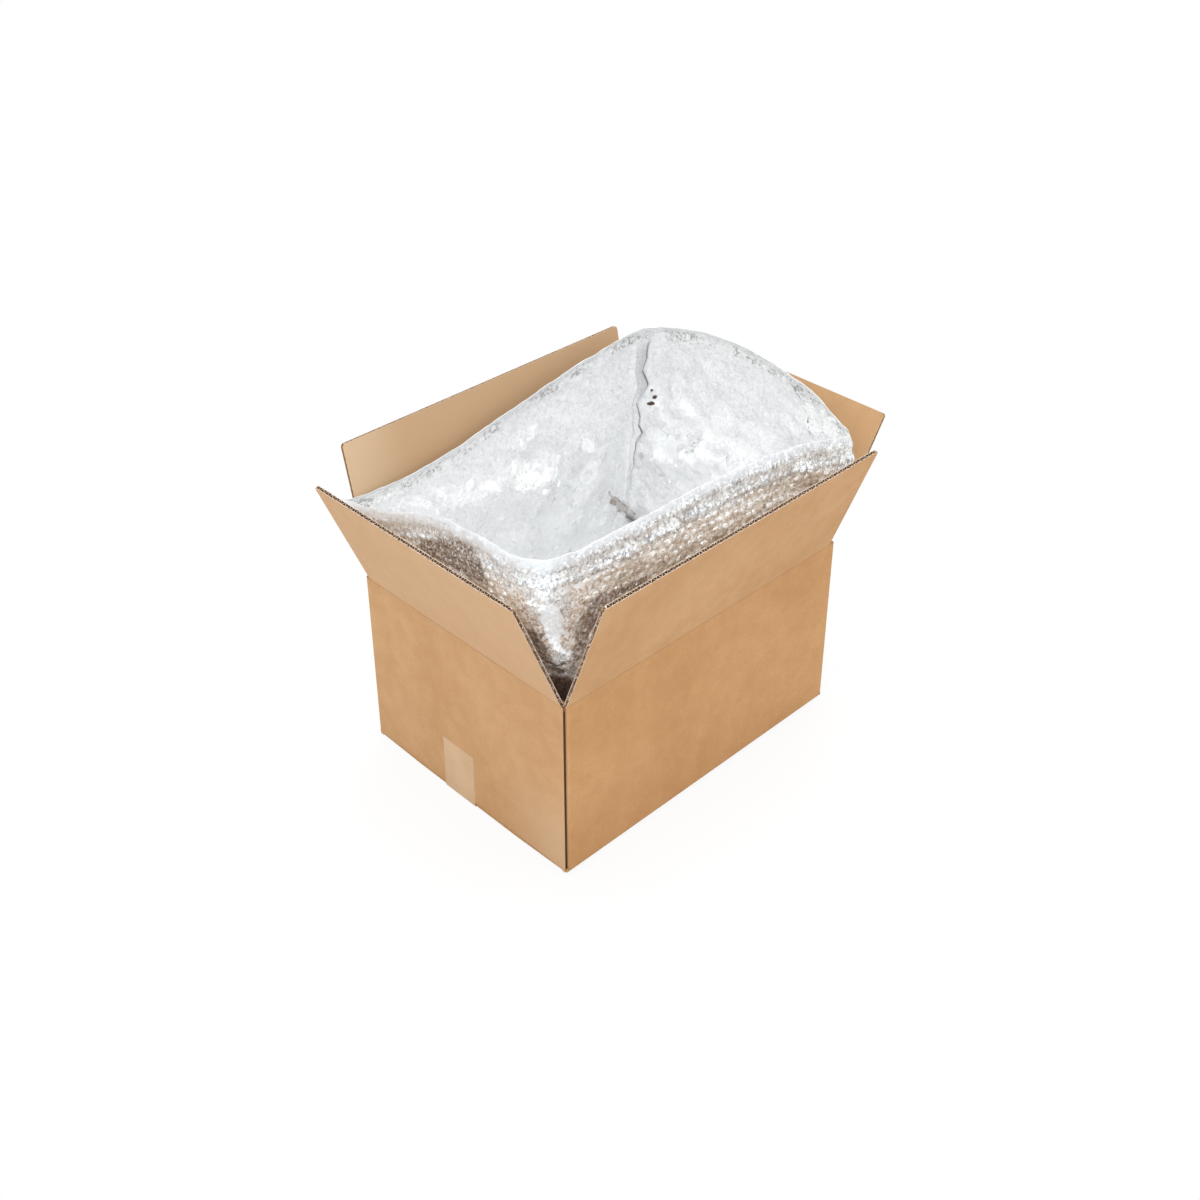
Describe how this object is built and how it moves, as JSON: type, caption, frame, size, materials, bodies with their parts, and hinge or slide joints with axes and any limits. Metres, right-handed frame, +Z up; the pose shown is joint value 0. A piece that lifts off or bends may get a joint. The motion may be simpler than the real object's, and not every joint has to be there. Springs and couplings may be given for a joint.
{
  "type": "insulated shipping box",
  "caption": "Open corrugated shipping carton with leaning top flaps and a metallised bubble-film insulating bag standing open inside it.",
  "frame": {"origin": "centre of the carton's footprint, on the underside it stands on", "axes": "+Z up; +X along the carton's long side; +Y along its short side; the glue lap is at the -X -Y corner"},
  "size_m": [0.5459, 0.3915, 0.4005],
  "materials": {
    "board": "plain kraft liner",
    "fluted_board": "plain kraft liner over open flutes",
    "tape": "smooth kraft paper tape",
    "foil_film": "metallised bubble film, crinkled"
  },
  "bodies": {
    "carton": {"carton_body": "board", "bottom_tape": "tape", "liner_bag": "foil_film"},
    "front_flap": {"flap_front": "fluted_board"},
    "right_flap": {"flap_right": "fluted_board"},
    "back_flap": {"flap_back": "fluted_board"},
    "left_flap": {"flap_left": "fluted_board"}
  },
  "joints": [
    {"name": "front_flap_fold", "type": "hinge", "parent": "carton", "child": "front_flap", "pos_m": [0, -0.154, 0.217], "axis": [1, 0, 0], "range_deg": [-4, 155]},
    {"name": "right_flap_fold", "type": "hinge", "parent": "carton", "child": "right_flap", "pos_m": [0.204, 0, 0.217], "axis": [0, 1, 0], "range_deg": [-20, 142]},
    {"name": "back_flap_fold", "type": "hinge", "parent": "carton", "child": "back_flap", "pos_m": [0, 0.154, 0.217], "axis": [-1, 0, 0], "range_deg": [-1, 162.6]},
    {"name": "left_flap_fold", "type": "hinge", "parent": "carton", "child": "left_flap", "pos_m": [-0.204, 0, 0.217], "axis": [0, -1, 0], "range_deg": [-4, 153]}
  ]
}
